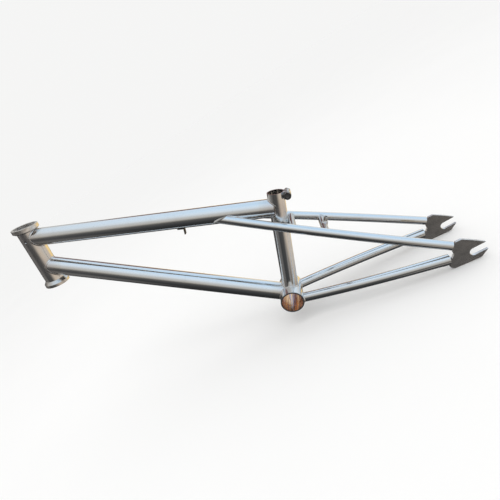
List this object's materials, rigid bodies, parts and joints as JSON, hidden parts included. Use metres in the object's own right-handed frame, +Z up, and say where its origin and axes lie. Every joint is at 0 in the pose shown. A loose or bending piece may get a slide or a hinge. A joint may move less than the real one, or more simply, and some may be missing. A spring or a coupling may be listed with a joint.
{
  "type": "bicycle frame",
  "caption": "Bare welded freestyle bicycle frame with pressed headset cups, plain rear dropouts and a bolted seat binder.",
  "frame": {"origin": "centre of the bottom bracket shell", "axes": "+X to the rear wheel, +Y to the drive side, +Z up with both wheels level"},
  "size_m": [0.7936, 0.1326, 0.4494],
  "materials": {
    "tube_metal": "bare polished tube metal",
    "cup_metal": "satin turned metal",
    "dropout_metal": "matte dull plate",
    "bolt_metal": "dark plated steel",
    "stop_metal": "blackened steel strip"
  },
  "bodies": {
    "frame": {"head_tube": "tube_metal", "upper_headset_cup": "cup_metal", "lower_headset_cup": "cup_metal", "top_tube": "tube_metal", "down_tube": "tube_metal", "seat_tube": "tube_metal", "bottom_bracket_shell": "tube_metal", "left_seat_stay": "tube_metal", "right_seat_stay": "tube_metal", "left_chain_stay": "tube_metal", "right_chain_stay": "tube_metal", "left_dropout": "dropout_metal", "right_dropout": "dropout_metal", "front_stay_bridge": "tube_metal", "brake_bridge": "tube_metal", "brake_boss": "tube_metal", "left_binder_lug": "tube_metal", "right_binder_lug": "tube_metal", "binder_nut": "bolt_metal", "cable_stop": "stop_metal"},
    "binder_slider": {"binder_washer": "bolt_metal"},
    "binder_screw": {"binder_bolt": "bolt_metal"}
  },
  "joints": [
    {"name": "binder_travel", "type": "slide", "parent": "frame", "child": "binder_slider", "axis": [0, -1, 0], "range_m": [0, 0.005]},
    {"name": "binder_turn", "type": "hinge", "parent": "binder_slider", "child": "binder_screw", "pos_m": [0.08876, -0.0125, 0.19174], "axis": [0, -1, 0], "range_deg": [0, 1440]}
  ],
  "couplings": [
    {"joint": "binder_turn", "follows": "binder_travel", "rad_per_m": 5026.5}
  ]
}
